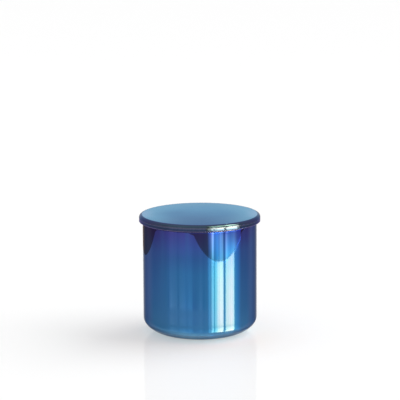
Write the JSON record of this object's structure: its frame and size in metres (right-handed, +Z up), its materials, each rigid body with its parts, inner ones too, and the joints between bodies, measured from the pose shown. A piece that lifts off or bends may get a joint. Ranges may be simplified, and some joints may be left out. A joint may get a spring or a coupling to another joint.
{
  "type": "straight-sided storage jar with push-in lid",
  "caption": "Straight-sided mirror-blue glass storage jar with a rounded heel and a slightly overhanging flat lid that pushes in on a finned seal.",
  "frame": {"origin": "centre of the foot ring, on the surface that the jar stands on", "axes": "+Z up along the axis of the jar; the jar is round, so +X and +Y are free, and -Y is taken as the front"},
  "size_m": [0.0852, 0.0852, 0.0847],
  "materials": {
    "plated_glass": "pressed glass plated outside to an opaque iridescent blue mirror, violet at the lip turning to azure at the heel",
    "plated_steel": "pressed sheet steel with a soft-sheen pale blue plating",
    "plated_plastic": "moulded plastic, its flange plated dark blue-green to match the shell",
    "silicone": "soft translucent white silicone"
  },
  "bodies": {
    "jar": {"jar_body": "plated_glass"},
    "seal": {"seal_ring": "silicone"},
    "lid": {"lid_shell": "plated_steel", "lid_plug": "plated_plastic"}
  },
  "joints": [
    {"name": "lid_lift", "type": "slide", "parent": "jar", "child": "seal", "axis": [0, 0, 1], "range_m": [0, 0.06]},
    {"name": "lid_turn", "type": "hinge", "parent": "seal", "child": "lid", "pos_m": [0, 0, 0.0753], "axis": [0, 0, 1], "continuous": true}
  ]
}
